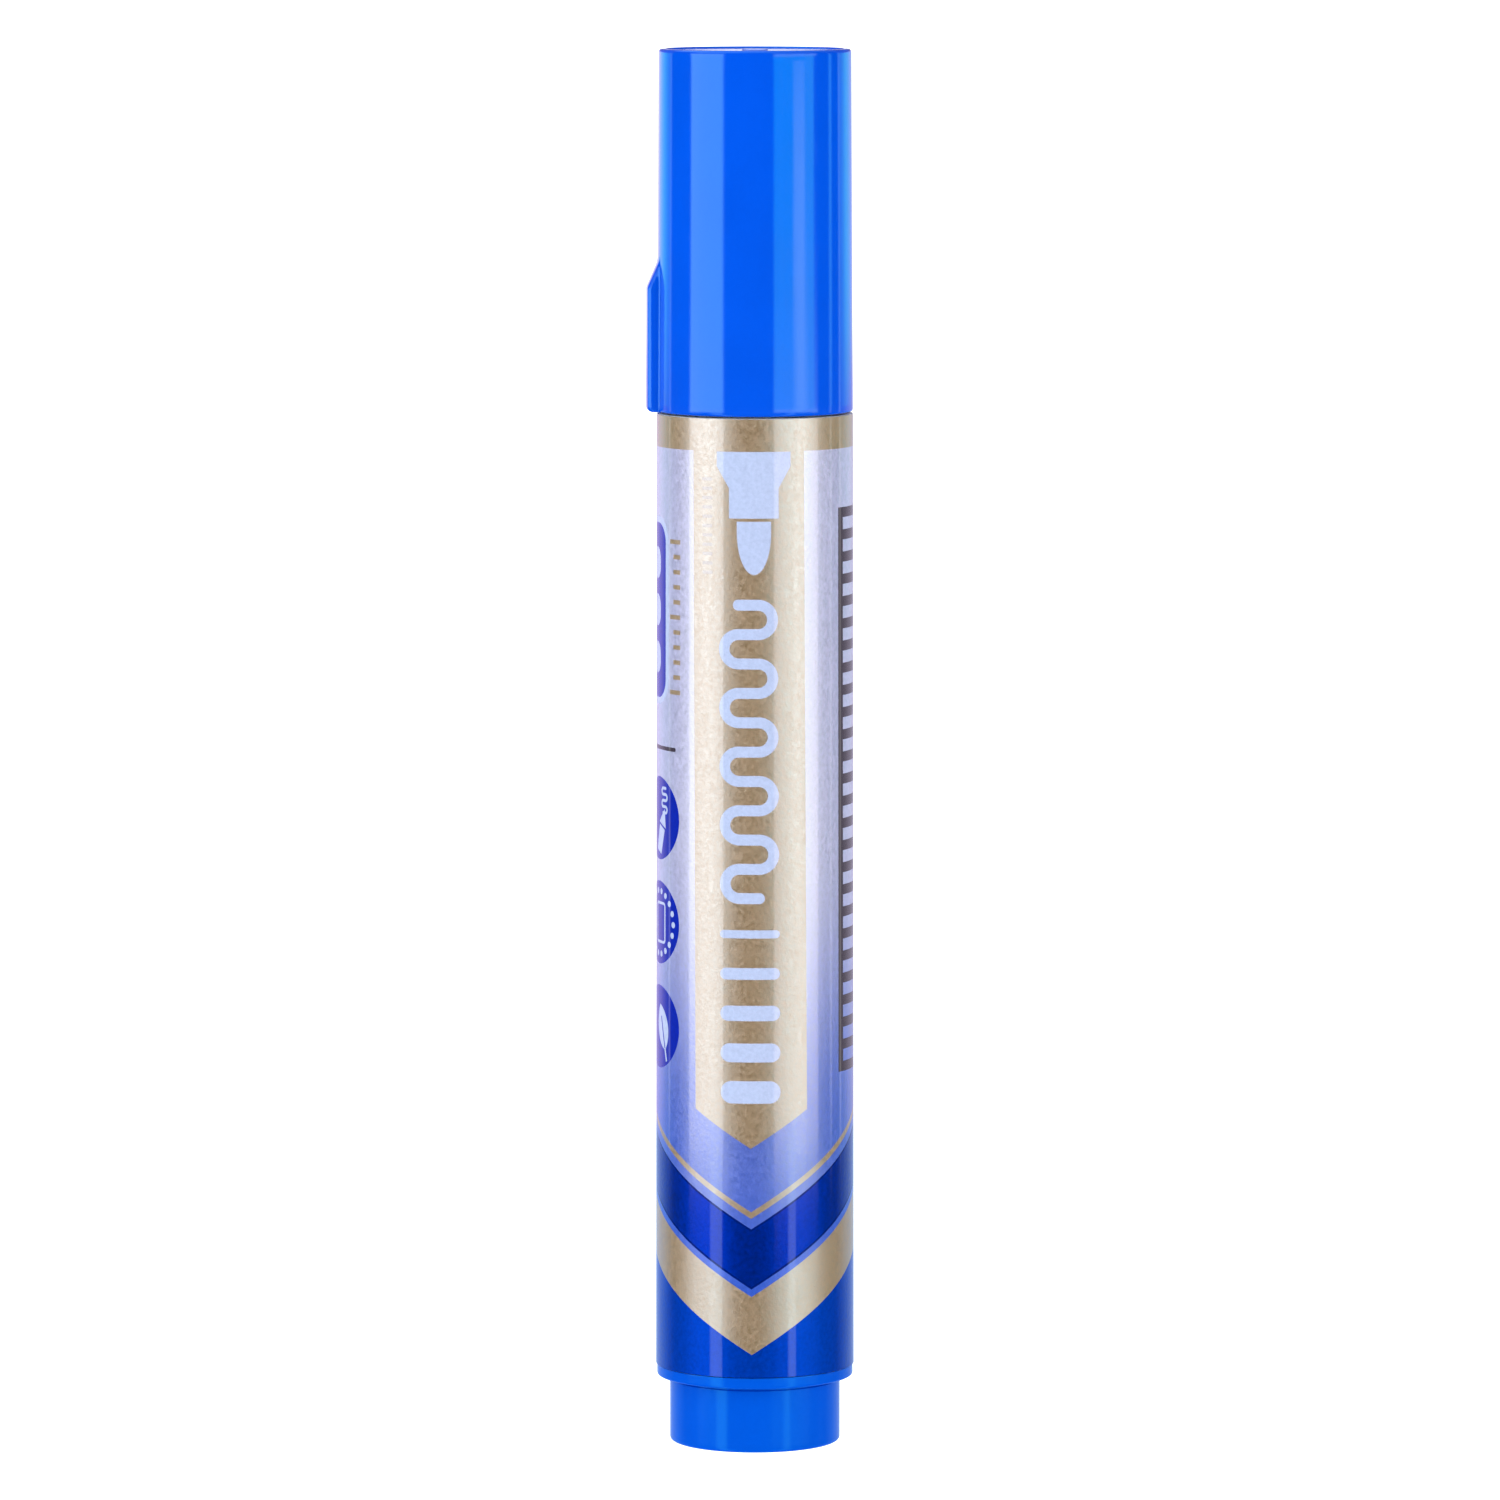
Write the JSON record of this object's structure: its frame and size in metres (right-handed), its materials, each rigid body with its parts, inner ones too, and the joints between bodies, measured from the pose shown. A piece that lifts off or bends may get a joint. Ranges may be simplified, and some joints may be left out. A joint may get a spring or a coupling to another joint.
{
  "type": "whiteboard marker",
  "caption": "Round whiteboard marker with a pull-off cap that has an anti-roll rib, a printed barrel, a bullet nib on an ink-filled fibre core, and a flanged tail plug that the cap fits on.",
  "frame": {"origin": "centre of the flat end of the tail, on the marker's axis", "axes": "+Z along the marker's axis, from the tail to the cap; the cap's anti-roll rib points along -X, and the front of the printed label along -Y"},
  "size_m": [0.0203, 0.0194, 0.1361],
  "materials": {
    "blue_plastic": "gloss",
    "white_plastic": "satin",
    "seal_plastic": "satin",
    "printed_film": "gloss",
    "wrap_film": "gloss",
    "ink_fibre": "matte",
    "ink_felt": "matte"
  },
  "bodies": {
    "barrel": {"barrel_tube": "white_plastic", "label_film": "printed_film", "reservoir_core": "ink_fibre", "reservoir_wrap": "wrap_film", "nib_holder": "white_plastic", "bullet_nib": "ink_felt"},
    "cap": {"cap_shell": "blue_plastic", "cap_inner_seal": "seal_plastic"},
    "end_plug": {"end_plug": "blue_plastic"}
  },
  "joints": [
    {"name": "cap_pull", "type": "slide", "parent": "barrel", "child": "cap", "axis": [0, 0, 1], "range_m": [0, 0.04]},
    {"name": "plug_pull", "type": "slide", "parent": "barrel", "child": "end_plug", "axis": [0, 0, -1], "range_m": [0, 0.015]}
  ]
}
